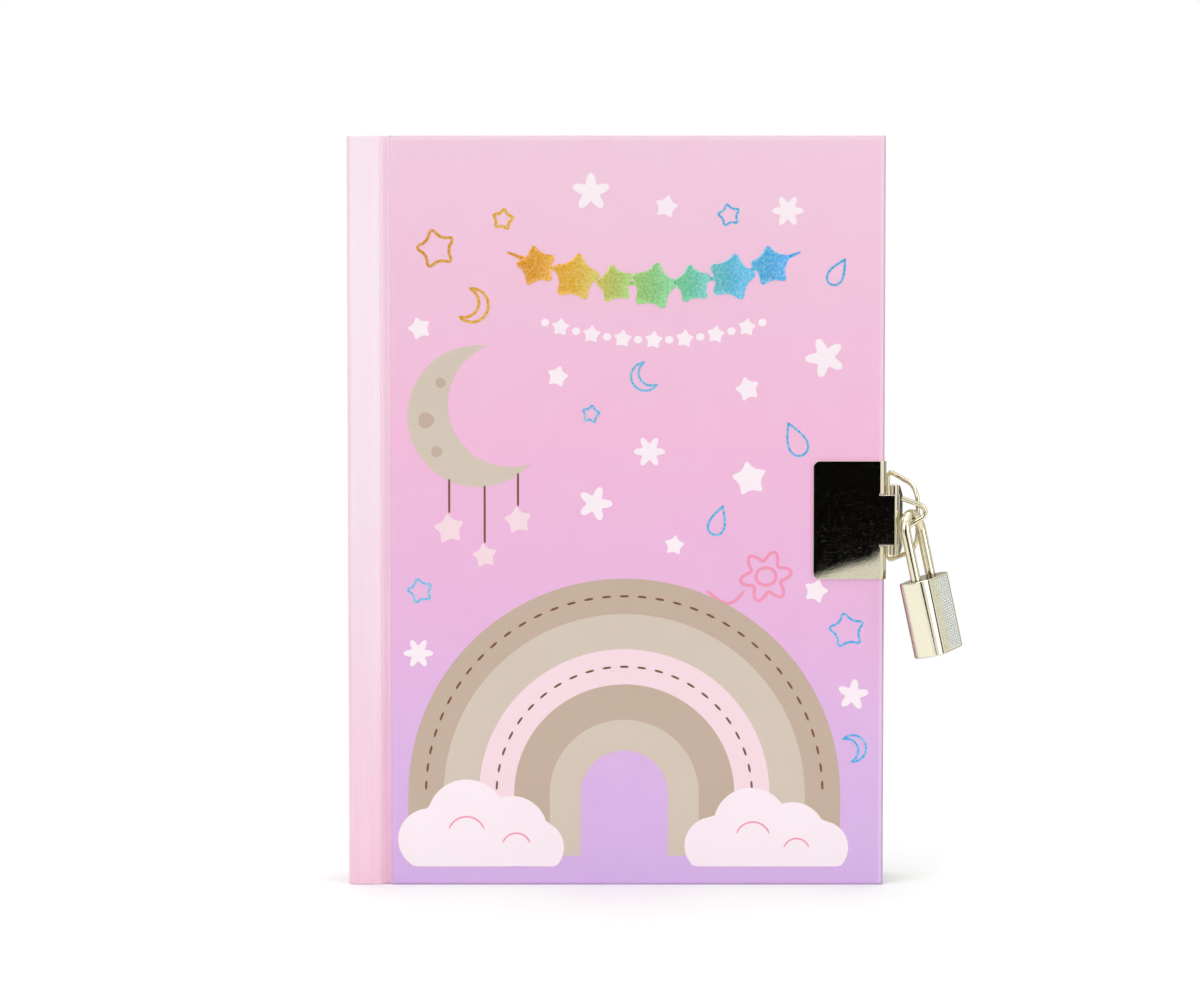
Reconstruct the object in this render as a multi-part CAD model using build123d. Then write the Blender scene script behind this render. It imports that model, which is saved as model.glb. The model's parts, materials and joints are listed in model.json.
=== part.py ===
from build123d import *
import os

# Diary with a lock, standing on its lower edges. Millimetres, +Z up, front cover towards -Y,
# spine towards -X. The origin is the middle of the back cover's lower edge.

# Book
book_w = 128.8          # spine to fore-edge, over the covers
book_h = 180.0
book_t = 20.0           # over both covers
board_t = 2.2
wrap_t = 0.3            # printed paper over the boards
pastedown_t = 0.2
turn_in = 3.0           # printed paper left showing around the pastedown
cover_edge_r = 0.7
strip_w = 10.1          # stiffened strip from the spine to the cover's fold
groove_w = 2.2          # valley beside the fold, at its top
valley_w = 1.0          # flat floor of the valley
groove_depth = 1.5
strip_crown = 0.35      # the strip's face swells by this much
spine_r = 1.2
fold_gap = 0.15         # each side of the fold line

# Text block
square = 3.0            # covers stand past the leaves by this much at head and tail
fore_square = 3.5       # and at the fore-edge
lining_t = 0.4
leaf_gap = 0.15
leaf_clear = 0.08       # between covers and leaves
bundle_gap = 0.04
flyleaf_t = 0.25
bundle_count = 6
band_w = 2.0            # head and tail bands
band_h = 1.4
band_r = 0.6

# Lock plates, one clipped over each cover's fore-edge
lock_z = 88.05          # middle of the lock above the foot
plate_w = 17.1          # on the cover's face
plate_h = 28.4
plate_t = 0.5
plate_corner_r = 1.5
bend_r = 1.6            # over the cover's outer edge
lip_bend_r = 0.9        # over its inner edge
lip_w = 3.1             # folded on to the inside of the cover
tongue_h = 12.0
tongue_slot = 0.3       # cut above and below the tongue
slot_reach = 1.2        # these cuts end this far inside the cover's edge
barrel_x = 2.4          # barrel's axis past the cover's edge
barrel_r = 1.05
turn_clear = 0.05       # radial clearance of a turning pin

# Hasp with its wire eye, on the front plate's pin
pin_r = 0.5
pin_head = 0.3          # pin past the knuckles at each end
knuckle_h = 2.3
knuckle_gap = 0.1
tab_gap = 0.1           # between the barrel and the tab
tab_w = 0.85
tab_t = 0.9
tab_slant_x = 0.65      # cut off the tab's outer corners
tab_slant_z = 2.2
eye_wire_r = 0.6
eye_reach = 7.75        # tab to the bend's corner point
eye_h = 7.5             # between the wire's ends
eye_lift = 1.4          # middle of the wire's ends above the middle of the lock
eye_rise = 0.9          # bend's corner point above the middle of the ends
eye_bend_r = 1.8

# Wire bail on the back plate
bail_wire_r = 0.55
bail_reach = 12.6
bail_h = 22.3           # between its arms at the barrel
bail_tip_h = 15.0       # between the corners of its cross bar
bail_seat = 3.8         # wire held inside each end of the barrel
bail_root_r = 1.5
bail_tip_r = 5.5
bail_angle = 30.5       # swung out from the page edges, degrees

# Padlock, in its own frame: arch of the shackle at the origin, legs down, width along X
lock_tilt = 12.0        # degrees from plumb
lock_turn = 60.5        # degrees about its own axis
hang_x = 1.8            # shackle's wire past the tab
hang_lift = -0.05       # shackle's wire above the middle of the eye's ends
shackle_r = 1.2         # wire radius
shackle_a = 4.4         # half the distance between the legs
shackle_top = 15.6      # arch to the case
long_leg = 14.0         # inside the case
short_leg = 7.2
case_w = 15.0
case_t = 8.0
case_h = 18.3
case_side_r = 2.7
case_edge_r = 0.35
leg_room = 1.0          # bore past the end of each leg
latch_drop = 2.5        # top of the latch below the case's top
latch_h = 1.8
latch_w = 1.8
latch_l = 3.2
latch_bite = 0.6        # into the shackle's notch
latch_travel = 3.0
latch_clear = 0.1
notch_h = 3.7
spring_t = 0.3
plug_r = 2.0
plug_l = 7.0
nose_r = 1.5
key_slot_w = 0.7
key_slot_h = 2.2
cam_r = 0.5
cam_offset = 1.2
base_t = 0.8            # plate that closes the case
base_margin = 1.0
panel_w = 9.2           # etched panel on each face
panel_t = 0.3
panel_proud = 0.08
panel_margin = 0.5      # plain face above and below the panel

# Places that follow from these sizes
cover_t = wrap_t + board_t + pastedown_t
y_back = cover_t / 2
y_front = y_back - book_t
y_mid = (y_front + y_back) / 2
y_inner = y_front + cover_t
x_spine = -book_w / 2
x_fore = book_w / 2
x_fold = x_spine + strip_w
x_lip = x_fold - groove_w
x_room = x_spine + wrap_t + board_t
y_room = y_front + wrap_t + board_t
x_pin = x_fore + barrel_x
y_pin = y_front - plate_t + barrel_r
x_tab = x_pin + barrel_r + tab_gap + tab_w
eye_z = lock_z + eye_lift
past = 1.0              # how far a cut runs past the face it opens
middle = Plane((0, y_mid, 0), z_dir=(0, 1, 0))


def slab(x0, x1, y0, y1, z0, z1):
    """Box between two opposite corners."""
    size = Box(x1 - x0, y1 - y0, z1 - z0)
    return Pos((x0 + x1) / 2, (y0 + y1) / 2, (z0 + z1) / 2) * size


def rod(x, y, z0, z1, r):
    """Upright cylinder."""
    return Pos(x, y, (z0 + z1) / 2) * Cylinder(r, z1 - z0)


def wire(path, r):
    """Round wire along a path."""
    return sweep(Plane(origin=path @ 0, z_dir=path % 0) * Circle(r), path=path)


def opposite(piece):
    """The same piece on the back cover."""
    return mirror(piece, about=middle)


# Front cover: board, printed paper turned in over its edges, pastedown

def eased(block, r):
    """Block with the edges of its -Y face rounded."""
    return fillet(block.faces().sort_by(Axis.Y)[0].edges(), r)


def cover_board():
    x0 = x_fold + fold_gap + wrap_t
    y0 = y_front + wrap_t
    block = slab(x0, x_fore - wrap_t, y0, y0 + board_t, wrap_t, book_h - wrap_t)
    return eased(block, cover_edge_r - wrap_t)


def pastedown():
    x0 = x_fold + fold_gap + wrap_t
    return slab(x0, x_fore - turn_in, y_inner - pastedown_t, y_inner, turn_in, book_h - turn_in)


def cover_wrap():
    block = slab(x_fold + fold_gap, x_fore, y_front, y_inner, 0, book_h)
    return eased(block, cover_edge_r) - cover_board() - pastedown()


# Spine and the stiffened strips beside it

def strip_board():
    x1 = x_lip - wrap_t
    return slab(x_room, x1, y_front + strip_crown + wrap_t, y_room, wrap_t, book_h - wrap_t)


def spine_board():
    y0 = y_front + strip_crown + wrap_t
    y1 = y_back - strip_crown - wrap_t
    block = slab(x_spine + wrap_t, x_room, y0, y1, wrap_t, book_h - wrap_t)
    outer = block.edges().filter_by(Axis.Z).sort_by(Axis.X)[:2]
    return fillet(outer, spine_r - wrap_t)


def spine_half():
    """Front half of the spine's outer form: swelled strip, valley and rounded corner."""
    x_end = x_fold - fold_gap
    y_strip = y_front + strip_crown
    y_floor = y_front + groove_depth
    x_corner = x_spine + spine_r
    slant = spine_r * (1 - 0.5 ** 0.5)
    outline = Curve() + [
        Line((x_end, y_mid), (x_end, y_floor)),
        Line((x_end, y_floor), (x_fold - valley_w, y_floor)),
        Line((x_fold - valley_w, y_floor), (x_lip, y_strip)),
        ThreePointArc((x_lip, y_strip), ((x_lip + x_corner) / 2, y_front), (x_corner, y_strip)),
        ThreePointArc((x_corner, y_strip), (x_spine + slant, y_strip + slant), (x_spine, y_strip + spine_r)),
        Line((x_spine, y_strip + spine_r), (x_spine, y_mid)),
        Line((x_spine, y_mid), (x_end, y_mid)),
    ]
    return extrude(make_face(outline), book_h, dir=(0, 0, 1))


def spine_wrap():
    half = spine_half()
    half -= slab(x_room, x_fold, y_room, y_mid + past, -past, book_h + past)
    half -= slab(x_lip, x_fold, y_front + groove_depth + wrap_t, y_mid + past, -past, book_h + past)
    half -= strip_board()
    return half + opposite(half) - spine_board()


# Text block

leaf_z0 = square
leaf_z1 = book_h - square


def spine_lining():
    return slab(x_room, x_room + lining_t, y_room, 2 * y_mid - y_room, leaf_z0, leaf_z1)


def bound_edge():
    x0 = x_room + lining_t
    return slab(x0, x_fold - leaf_gap, y_room, 2 * y_mid - y_room, leaf_z0, leaf_z1)


def head_band():
    block = slab(x_room, x_room + band_w, y_room, 2 * y_mid - y_room, leaf_z1, leaf_z1 + band_h)
    return fillet(block.faces().sort_by(Axis.Z)[-1].edges().filter_by(Axis.Y), band_r)


def tail_band():
    return mirror(head_band(), about=Plane.XY.offset(book_h / 2))


def leaves(y0, thickness):
    return slab(x_fold + leaf_gap, x_fore - fore_square, y0, y0 + thickness, leaf_z0, leaf_z1)


def flyleaf():
    return leaves(y_inner + leaf_clear, flyleaf_t)


bundle_y0 = y_inner + leaf_clear + flyleaf_t + bundle_gap
bundle_pitch = (2 * (y_mid - bundle_y0) + bundle_gap) / bundle_count


def leaf_bundle(index):
    return leaves(bundle_y0 + index * bundle_pitch, bundle_pitch - bundle_gap)


# Lock plates

plate_x = x_fore - plate_w
tongue_z0 = lock_z - tongue_h / 2
tongue_z1 = lock_z + tongue_h / 2


def lock_plate(bore_r):
    """Plate over the front cover's edge, with its middle tongue curled into a barrel."""
    z0 = lock_z - plate_h / 2
    z1 = lock_z + plate_h / 2
    plate = slab(plate_x, x_fore + plate_t, y_front - plate_t, y_inner + plate_t, z0, z1)
    plate = fillet(plate.edges().filter_by(Axis.Y).sort_by(Axis.X)[:2], plate_corner_r)
    bends = plate.edges().filter_by(Axis.Z).sort_by(Axis.X)[-2:].sort_by(Axis.Y)
    plate = fillet(bends[0], bend_r)
    plate = fillet(plate.edges().filter_by(Axis.Z).group_by(Axis.X)[-1].sort_by(Axis.Y)[-1], lip_bend_r)
    room = slab(plate_x - past, x_fore, y_front, y_inner, z0 - past, z1 + past)
    corner = room.edges().filter_by(Axis.Z).group_by(Axis.X)[-1].sort_by(Axis.Y)[0]
    plate -= fillet(corner, cover_edge_r - turn_clear)
    plate -= slab(plate_x - past, x_fore - lip_w, y_inner - past, y_inner + past, z0 - past, z1 + past)
    plate -= slab(
        x_fore - lip_w - past, x_fore + past, y_front - past, y_inner + past,
        tongue_z0 - tongue_slot, tongue_z1 + tongue_slot,
    )
    z_face = (tongue_z0 - tongue_slot, tongue_z1 + tongue_slot)
    plate += slab(x_fore - lip_w - past, x_fore - slot_reach, y_front - plate_t, y_front, *z_face)
    plate += slab(x_fore - lip_w, x_pin, y_front - plate_t, y_front, tongue_z0, tongue_z1)
    plate += rod(x_pin, y_pin, tongue_z0, tongue_z1, barrel_r)
    return plate - rod(x_pin, y_pin, tongue_z0 - past, tongue_z1 + past, bore_r)


# Hasp

knuckle_z0 = tongue_z0 - knuckle_gap - knuckle_h
knuckle_z1 = tongue_z1 + knuckle_gap + knuckle_h


def hasp_tab():
    """Flat tab beside the barrel, with a knuckle above and below it."""
    x0 = x_tab - tab_w
    x1 = x_tab - tab_slant_x
    outline = Polyline(
        (x0, knuckle_z0), (x1, knuckle_z0), (x_tab, knuckle_z0 + tab_slant_z),
        (x_tab, knuckle_z1 - tab_slant_z), (x1, knuckle_z1), (x0, knuckle_z1), close=True,
    )
    tab = Pos(0, y_pin, 0) * extrude(Plane.XZ * make_face(outline), tab_t / 2, both=True)
    for z0 in (knuckle_z0, knuckle_z1 - knuckle_h):
        z1 = z0 + knuckle_h
        tab += rod(x_pin, y_pin, z0, z1, barrel_r)
        tab += slab(x_pin, x0, y_pin - tab_t / 2, y_pin + tab_t / 2, z0, z1)
    return tab - rod(x_pin, y_pin, knuckle_z0 - past, knuckle_z1 + past, pin_r)


def hasp_pin():
    return rod(x_pin, y_pin, knuckle_z0 - pin_head, knuckle_z1 + pin_head, pin_r)


def wire_eye():
    """Three-cornered loop of wire, its two ends soldered to the tab."""
    top = Vector(x_tab, y_pin, eye_z + eye_h / 2)
    low = Vector(x_tab, y_pin, eye_z - eye_h / 2)
    tip = Vector(x_tab + eye_reach, y_pin, eye_z + eye_rise)
    start = top + (top - tip).normalized() * past
    end = low + (low - tip).normalized() * past
    loop = wire(FilletPolyline(start, tip, end, radius=eye_bend_r), eye_wire_r)
    reach = eye_h
    return loop - slab(x_tab - reach, x_tab, y_pin - reach, y_pin + reach, eye_z - reach, eye_z + reach)


# Bail

def hasp_bail():
    """Wire loop that turns in the back plate's barrel, its ends sprung into the bore."""
    y_bail = 2 * y_mid - y_pin
    out = Vector(0, -1, 0).rotate(Axis.Z, bail_angle)
    side = Plane(origin=(x_pin, y_bail, lock_z), x_dir=out, z_dir=out.cross(Vector(0, 0, 1)))
    seat = tongue_h / 2 - bail_seat
    route = FilletPolyline(
        (0, seat), (0, bail_h / 2), (bail_reach, bail_tip_h / 2),
        (bail_reach, -bail_tip_h / 2), (0, -bail_h / 2), (0, -seat),
        radius=[bail_root_r, bail_tip_r, bail_tip_r, bail_root_r],
    )
    return wire(side * route, bail_wire_r)


# Padlock

hang = Pos(x_tab + hang_x, y_pin, eye_z + hang_lift) * Rot(0, -lock_tilt, 0) * Rot(0, 0, lock_turn)
case_z1 = -shackle_top
case_z0 = case_z1 - case_h
latch_z1 = case_z1 - latch_drop
latch_z0 = latch_z1 - latch_h
latch_x1 = shackle_a - shackle_r + latch_bite
latch_x0 = latch_x1 - latch_l


def shackle():
    a = shackle_a
    legs = Curve() + [
        Line((-a, 0, case_z1 - long_leg), (-a, 0, -a)),
        ThreePointArc((-a, 0, -a), (0, 0, 0), (a, 0, -a)),
        Line((a, 0, -a), (a, 0, case_z1 - short_leg)),
    ]
    notch_z1 = latch_z1 + latch_clear
    notch_x1 = latch_x1 + latch_clear
    r = shackle_r
    return wire(legs, r) - slab(a - r - past, notch_x1, -r - past, r + past, notch_z1 - notch_h, notch_z1)


def rounded_block(w, t, z0, z1, r):
    block = slab(-w / 2, w / 2, -t / 2, t / 2, z0, z1)
    return fillet(block.edges().filter_by(Axis.Z), r)


def padlock_base():
    w = case_w - 2 * base_margin
    t = case_t - 2 * base_margin
    plate = rounded_block(w, t, case_z0, case_z0 + base_t, case_side_r - base_margin)
    return plate - rod(0, 0, case_z0 - past, case_z0 + base_t + past, nose_r + turn_clear)


def face_panel(side):
    z0 = case_z0 + panel_margin
    z1 = case_z1 - panel_margin
    face = case_t / 2
    y0, y1 = sorted((side * (face - panel_t), side * (face + panel_proud)))
    return slab(-panel_w / 2, panel_w / 2, y0, y1, z0, z1)


slot_x0 = latch_x0 - latch_travel - latch_clear
slot_z1 = latch_z1 + latch_clear + spring_t


def padlock_case():
    case = rounded_block(case_w, case_t, case_z0, case_z1, case_side_r)
    ends = case.edges().filter_by(Axis.Z, reverse=True)
    case = fillet(ends, case_edge_r)
    bore_r = shackle_r + turn_clear
    case -= rod(-shackle_a, 0, case_z1 - long_leg - leg_room, case_z1 + past, bore_r)
    case -= rod(shackle_a, 0, case_z1 - short_leg - leg_room, case_z1 + past, bore_r)
    slot_y = latch_w / 2 + latch_clear
    case -= slab(slot_x0, shackle_a, -slot_y, slot_y, latch_z0 - latch_clear, slot_z1)
    case -= rod(0, 0, case_z0 - past, latch_z0 - latch_clear + turn_clear, plug_r + turn_clear)
    w = case_w - 2 * base_margin
    t = case_t - 2 * base_margin
    case -= rounded_block(w, t, case_z0 - past, case_z0 + base_t, case_side_r - base_margin)
    return case - face_panel(1) - face_panel(-1)


def padlock_latch():
    return slab(latch_x0, latch_x1, -latch_w / 2, latch_w / 2, latch_z0, latch_z1)


def latch_spring():
    x1 = shackle_a - shackle_r - latch_clear
    return slab(slot_x0, x1, -latch_w / 2, latch_w / 2, slot_z1 - spring_t, slot_z1)


def key_plug():
    z0 = case_z0 + base_t + latch_clear
    plug = rod(0, 0, z0, z0 + plug_l, plug_r) + rod(0, 0, case_z0, z0, nose_r)
    cam_top = latch_z0 - 2 * latch_clear
    plug += rod(0, cam_offset, z0 + plug_l, cam_top, cam_r)
    w = key_slot_w / 2
    h = key_slot_h / 2
    return plug - slab(-w, w, -h, h, case_z0 - past, z0 + plug_l - past)


# Every node, by name

front_plate = lock_plate(pin_r + turn_clear)
back_plate = opposite(lock_plate(bail_wire_r + turn_clear))
nodes = {
    "front_board": cover_board(),
    "front_cover_wrap": cover_wrap(),
    "front_pastedown": pastedown(),
    "back_board": opposite(cover_board()),
    "back_cover_wrap": opposite(cover_wrap()),
    "back_pastedown": opposite(pastedown()),
    "spine_board": spine_board(),
    "front_strip_board": strip_board(),
    "back_strip_board": opposite(strip_board()),
    "spine_wrap": spine_wrap(),
    "spine_lining": spine_lining(),
    "bound_edge": bound_edge(),
    "head_band": head_band(),
    "tail_band": tail_band(),
    "front_flyleaf": flyleaf(),
    "back_flyleaf": opposite(flyleaf()),
    "front_plate": front_plate,
    "back_plate": back_plate,
    "hasp_tab": hasp_tab(),
    "hasp_pin": hasp_pin(),
    "wire_eye": wire_eye(),
    "hasp_bail": hasp_bail(),
    "shackle": hang * shackle(),
    "padlock_case": hang * padlock_case(),
    "padlock_base": hang * padlock_base(),
    "face_panel_outer": hang * face_panel(-1),
    "face_panel_inner": hang * face_panel(1),
    "padlock_latch": hang * padlock_latch(),
    "latch_spring": hang * latch_spring(),
    "key_plug": hang * key_plug(),
}
for number in range(bundle_count):
    nodes[f"leaf_bundle_{number + 1}"] = leaf_bundle(number)

os.makedirs("parts", exist_ok=True)
for name, piece in nodes.items():
    export_step(piece, f"parts/{name}.step")
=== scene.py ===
import bmesh
import bpy
import json
import random
from math import atan2, cos, hypot, pi, radians, sin, tan
from mathutils import Matrix, Vector

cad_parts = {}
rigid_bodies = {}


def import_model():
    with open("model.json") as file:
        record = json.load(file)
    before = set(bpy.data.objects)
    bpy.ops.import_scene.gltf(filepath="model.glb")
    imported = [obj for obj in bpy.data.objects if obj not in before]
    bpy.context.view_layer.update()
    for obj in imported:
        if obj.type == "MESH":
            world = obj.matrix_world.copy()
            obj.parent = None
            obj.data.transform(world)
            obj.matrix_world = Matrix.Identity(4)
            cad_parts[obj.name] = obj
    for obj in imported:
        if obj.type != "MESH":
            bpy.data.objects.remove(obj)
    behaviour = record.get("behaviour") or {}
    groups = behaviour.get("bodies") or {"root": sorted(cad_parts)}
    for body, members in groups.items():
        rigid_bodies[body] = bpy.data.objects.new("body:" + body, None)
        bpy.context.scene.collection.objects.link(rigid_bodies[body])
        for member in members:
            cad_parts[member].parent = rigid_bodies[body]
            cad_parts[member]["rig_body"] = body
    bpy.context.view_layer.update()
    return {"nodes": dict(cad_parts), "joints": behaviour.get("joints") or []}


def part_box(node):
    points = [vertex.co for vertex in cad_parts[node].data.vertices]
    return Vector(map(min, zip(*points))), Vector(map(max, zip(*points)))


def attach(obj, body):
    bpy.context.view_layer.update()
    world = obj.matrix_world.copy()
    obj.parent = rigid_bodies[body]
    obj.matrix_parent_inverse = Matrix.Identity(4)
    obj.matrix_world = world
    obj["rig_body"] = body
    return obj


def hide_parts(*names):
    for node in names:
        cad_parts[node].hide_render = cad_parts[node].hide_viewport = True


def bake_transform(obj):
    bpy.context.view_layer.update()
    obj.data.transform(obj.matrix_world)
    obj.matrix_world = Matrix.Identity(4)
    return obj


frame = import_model()

# Sizes are in millimetres in this script and become metres when a mesh is made.
MM = 0.001
joints = {j["name"]: j for j in frame["joints"]}


def in_mm(point):
    return Vector(point) / MM


def box_mm(node):
    """Lowest and highest corner of a CAD node."""
    return [in_mm(p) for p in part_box(node)]


def joint_place(name):
    return in_mm(joints[name]["pos_m"])


def joint_axis(name):
    return Vector(joints[name]["axis"])


# Places read from the frame
cover_lo, cover_hi = box_mm("front_cover_wrap")
BOOK_H = cover_hi.z
X_FORE = cover_hi.x
X_FOLD = joint_place("front_cover_open").x
X_SPINE = box_mm("spine_wrap")[0].x
Y_FACE = cover_lo.y
Y_BACK = box_mm("back_cover_wrap")[1].y
Y_MID = (Y_FACE + Y_BACK) / 2


# Mesh helpers

BROAD = 0.7             # the Y of a broad face's normal is larger than this
WELD = 0.002            # vertices nearer than this are joined
FLAT_DEG = 1            # faces that meet at less than this are one flat face
RIM_DEG = 40            # edges that turn by more than this are rounded
RIM_SEGMENTS = 3


def new_piece(name, bm, mat, body, smooth=40):
    """Object from a bmesh in millimetres; it rides on the body, if one is given."""
    bmesh.ops.scale(bm, vec=(MM, MM, MM), verts=bm.verts)
    bmesh.ops.recalc_face_normals(bm, faces=bm.faces)
    mesh = bpy.data.meshes.new(name)
    bm.to_mesh(mesh)
    bm.free()
    mesh.materials.append(mat)
    obj = bpy.data.objects.new(name, mesh)
    bpy.context.scene.collection.objects.link(obj)
    mesh.shade_smooth()
    mesh.set_sharp_from_angle(angle=radians(smooth))
    if body:
        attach(obj, body)
    return obj


def add_ring(bm, points):
    return [bm.verts.new(p) for p in points]


def bridge(bm, a, b):
    """Quads between two rings of equal length."""
    n = len(a)
    for i in range(n):
        j = (i + 1) % n
        bm.faces.new((a[i], a[j], b[j], b[i]))


def loft(bm, rows):
    """Skin through closed rows of points, with both ends filled."""
    rings = [add_ring(bm, row) for row in rows]
    for a, b in zip(rings, rings[1:]):
        bridge(bm, a, b)
    bm.faces.new(list(reversed(rings[0])))
    bm.faces.new(rings[-1])


def tube(bm, points, radius, sides):
    """Round tube along points, its section carried along without twist."""
    points = [Vector(p) for p in points]
    last = len(points) - 1
    tangents = []
    for i in range(last + 1):
        tangents.append((points[min(i + 1, last)] - points[max(i - 1, 0)]).normalized())
    turns = [2 * pi * k / sides for k in range(sides)]
    normal = tangents[0].orthogonal().normalized()
    rows = []
    for i, (p, t) in enumerate(zip(points, tangents)):
        if i:
            normal = tangents[i - 1].rotation_difference(t) @ normal
        side = t.cross(normal)
        rows.append([p + (normal * cos(a) + side * sin(a)) * radius for a in turns])
    loft(bm, rows)


def rounded_route(points, radii, steps):
    """Straight runs joined by arcs of the given radii, one for each inner point."""
    points = [Vector(p) for p in points]
    route = [points[0]]
    for i, r in enumerate(radii, start=1):
        to_a = (points[i - 1] - points[i]).normalized()
        to_b = (points[i + 1] - points[i]).normalized()
        half = to_a.angle(to_b) / 2
        cut = r / tan(half)
        middle = points[i] + (to_a + to_b).normalized() * (r / sin(half))
        start = points[i] + to_a * cut - middle
        end = points[i] + to_b * cut - middle
        for k in range(steps + 1):
            route.append(middle + start.slerp(end, k / steps, start).normalized() * r)
    route.append(points[-1])
    return route


def keep_rest(obj):
    """Stores a sheet's vertices at rest and its broad faces, which place its print."""
    mesh = obj.data
    rest = mesh.attributes.new("rest", "FLOAT_VECTOR", "POINT")
    rest.data.foreach_set("vector", [c for v in mesh.vertices for c in v.co])
    broad = mesh.attributes.new("broad", "FLOAT", "FACE")
    broad.data.foreach_set("value", [float(abs(p.normal.y) > BROAD) for p in mesh.polygons])


def bevelled(node, mat, width):
    """Copy of a CAD node's mesh with its edges rounded, standing for the node."""
    source = frame["nodes"][node]
    bm = bmesh.new()
    bm.from_mesh(source.data)
    bmesh.ops.remove_doubles(bm, verts=bm.verts, dist=WELD * MM)
    bmesh.ops.dissolve_limit(bm, angle_limit=radians(FLAT_DEG), verts=bm.verts, edges=bm.edges)
    bmesh.ops.scale(bm, vec=(1 / MM, 1 / MM, 1 / MM), verts=bm.verts)
    obj = new_piece(node + "_bright", bm, mat, source["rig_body"], smooth=30)
    rim = obj.modifiers.new("rim", "BEVEL")
    rim.width = width * MM
    rim.segments = RIM_SEGMENTS
    rim.limit_method = "ANGLE"
    rim.angle_limit = radians(RIM_DEG)
    obj.modifiers.new("flat", "WEIGHTED_NORMAL").keep_sharp = True
    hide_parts(node)


# Material helpers

def srgb(code):
    """Linear colour of a six-digit hex code."""
    parts = [int(code[i:i + 2], 16) / 255 for i in (0, 2, 4)]
    linear = [c / 12.92 if c <= 0.04045 else ((c + 0.055) / 1.055) ** 2.4 for c in parts]
    return (*linear, 1)


class Shader:
    """A material and short ways to add nodes to it."""

    def __init__(self, name, sheet=False, **values):
        self.mat = bpy.data.materials.new(name)
        self.mat.use_nodes = True
        self.tree = self.mat.node_tree
        self.bsdf = self.tree.nodes["Principled BSDF"]
        for key, value in values.items():
            self.bsdf.inputs[key.replace("_", " ")].default_value = value
        if sheet:
            self.where = self.attribute("rest", "Vector")
        else:
            self.where = self.add("ShaderNodeTexCoord").outputs["Object"]

    def add(self, kind, inputs=(), **settings):
        """Node whose inputs are linked to sockets or set to plain values."""
        node = self.tree.nodes.new(kind)
        for key, value in settings.items():
            setattr(node, key, value)
        for key, value in dict(inputs).items():
            if isinstance(value, bpy.types.NodeSocket):
                self.tree.links.new(value, node.inputs[key])
            else:
                node.inputs[key].default_value = value
        return node

    def set(self, key, socket):
        self.tree.links.new(socket, self.bsdf.inputs[key])

    def attribute(self, name, output):
        return self.add("ShaderNodeAttribute", attribute_name=name).outputs[output]

    def math(self, operation, a, b=0.0):
        return self.add("ShaderNodeMath", {0: a, 1: b}, operation=operation).outputs[0]

    def axis(self, name):
        return self.add("ShaderNodeSeparateXYZ", {0: self.where}).outputs[name]

    def noise(self, size, detail=3.0, rough=0.55):
        """Noise whose features are about this many millimetres across."""
        inputs = {
            "Vector": self.where, "Scale": 1 / (size * MM), "Detail": detail, "Roughness": rough,
        }
        return self.add("ShaderNodeTexNoise", inputs).outputs[0]

    def speckle(self, size, detail=3.0, rough=0.55, lo=0.3, hi=0.7):
        """Noise stretched to run from 0 to 1."""
        return self.span(self.noise(size, detail, rough), lo, hi)

    def span(self, value, lo, hi, to_lo=0.0, to_hi=1.0):
        inputs = {0: value, 1: lo, 2: hi, 3: to_lo, 4: to_hi}
        return self.add("ShaderNodeMapRange", inputs).outputs[0]

    def ramp(self, factor, stops):
        node = self.add("ShaderNodeValToRGB", {0: factor})
        while len(node.color_ramp.elements) < len(stops):
            node.color_ramp.elements.new(0.5)
        for element, (place, colour) in zip(node.color_ramp.elements, stops):
            element.position = place
            element.color = colour
        return node.outputs[0]

    def hues(self, factor, stops):
        """Ramp of hex codes."""
        return self.ramp(factor, [(place, srgb(code)) for place, code in stops])

    def levels(self, factor, stops):
        """Ramp of plain numbers."""
        return self.ramp(factor, [(place, (v, v, v, 1)) for place, v in stops])

    def mix(self, factor, a, b):
        """Colour a where the factor is 0 and b where it is 1."""
        inputs = {0: factor, 6: a, 7: b}
        return self.add("ShaderNodeMix", inputs, data_type="RGBA").outputs[2]

    def tint(self, colour, factor, share, code):
        """Colour with this share of another where the factor is 1."""
        return self.mix(self.math("MULTIPLY", factor, share), colour, srgb(code))

    def bump(self, height, depth):
        inputs = {"Height": height, "Distance": depth * MM}
        self.set("Normal", self.add("ShaderNodeBump", inputs).outputs[0])


# Materials

# Print on the cover and on the strip beside the spine, from the foot of the book to its head; the
# strip's colours are its print made paler by a painted highlight of its gloss
COVER_STOPS = [
    (0.0, "D6B0E8"), (0.14, "DAB2E7"), (0.36, "EBB4E0"), (0.60, "F4BADB"), (1.0, "F5CCE0"),
]
# the strip's print, made paler by a painted highlight
STRIP_STOPS = [
    (0.0, "F6C7DB"), (0.2, "F6D0E2"), (0.5, "F9E2EE"), (0.8, "FEEBF6"), (1.0, "FDE9F4"),
]
# painted shade at the strip's rounded spine edge and by its groove, and painted sheen in pale
# upright streaks
STRIP_SIDE_SHADE_SHARES = [(0.0, 0.7), (0.12, 0.0), (0.70, 0.0), (0.82, 0.25), (1.0, 0.35)]
STRIP_SIDE_SHADE_COLOUR = "F1BAD5"
SHEEN_STREAK = "FFF6FB"
SHEEN_STREAK_W = 1.1
SHEEN_STREAK_SQUEEZE = 0.03   # streaks are longer than wide by one over this
EDGE_BAND = 1.5         # width of the shading along the cover's edges
# painted shade and painted highlight along the cover's rounded edges
EDGE_SHADE_SHARES = [(0.0, 0.55), (0.22, 0.5), (0.4, 0.0), (1.0, 0.0)]
EDGE_HIGHLIGHT_SHARES = [(0.0, 0.0), (0.3, 0.0), (0.45, 0.3), (1.0, 0.0)]
EDGE_SHADE_COLOUR = "A88F9E"
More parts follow.
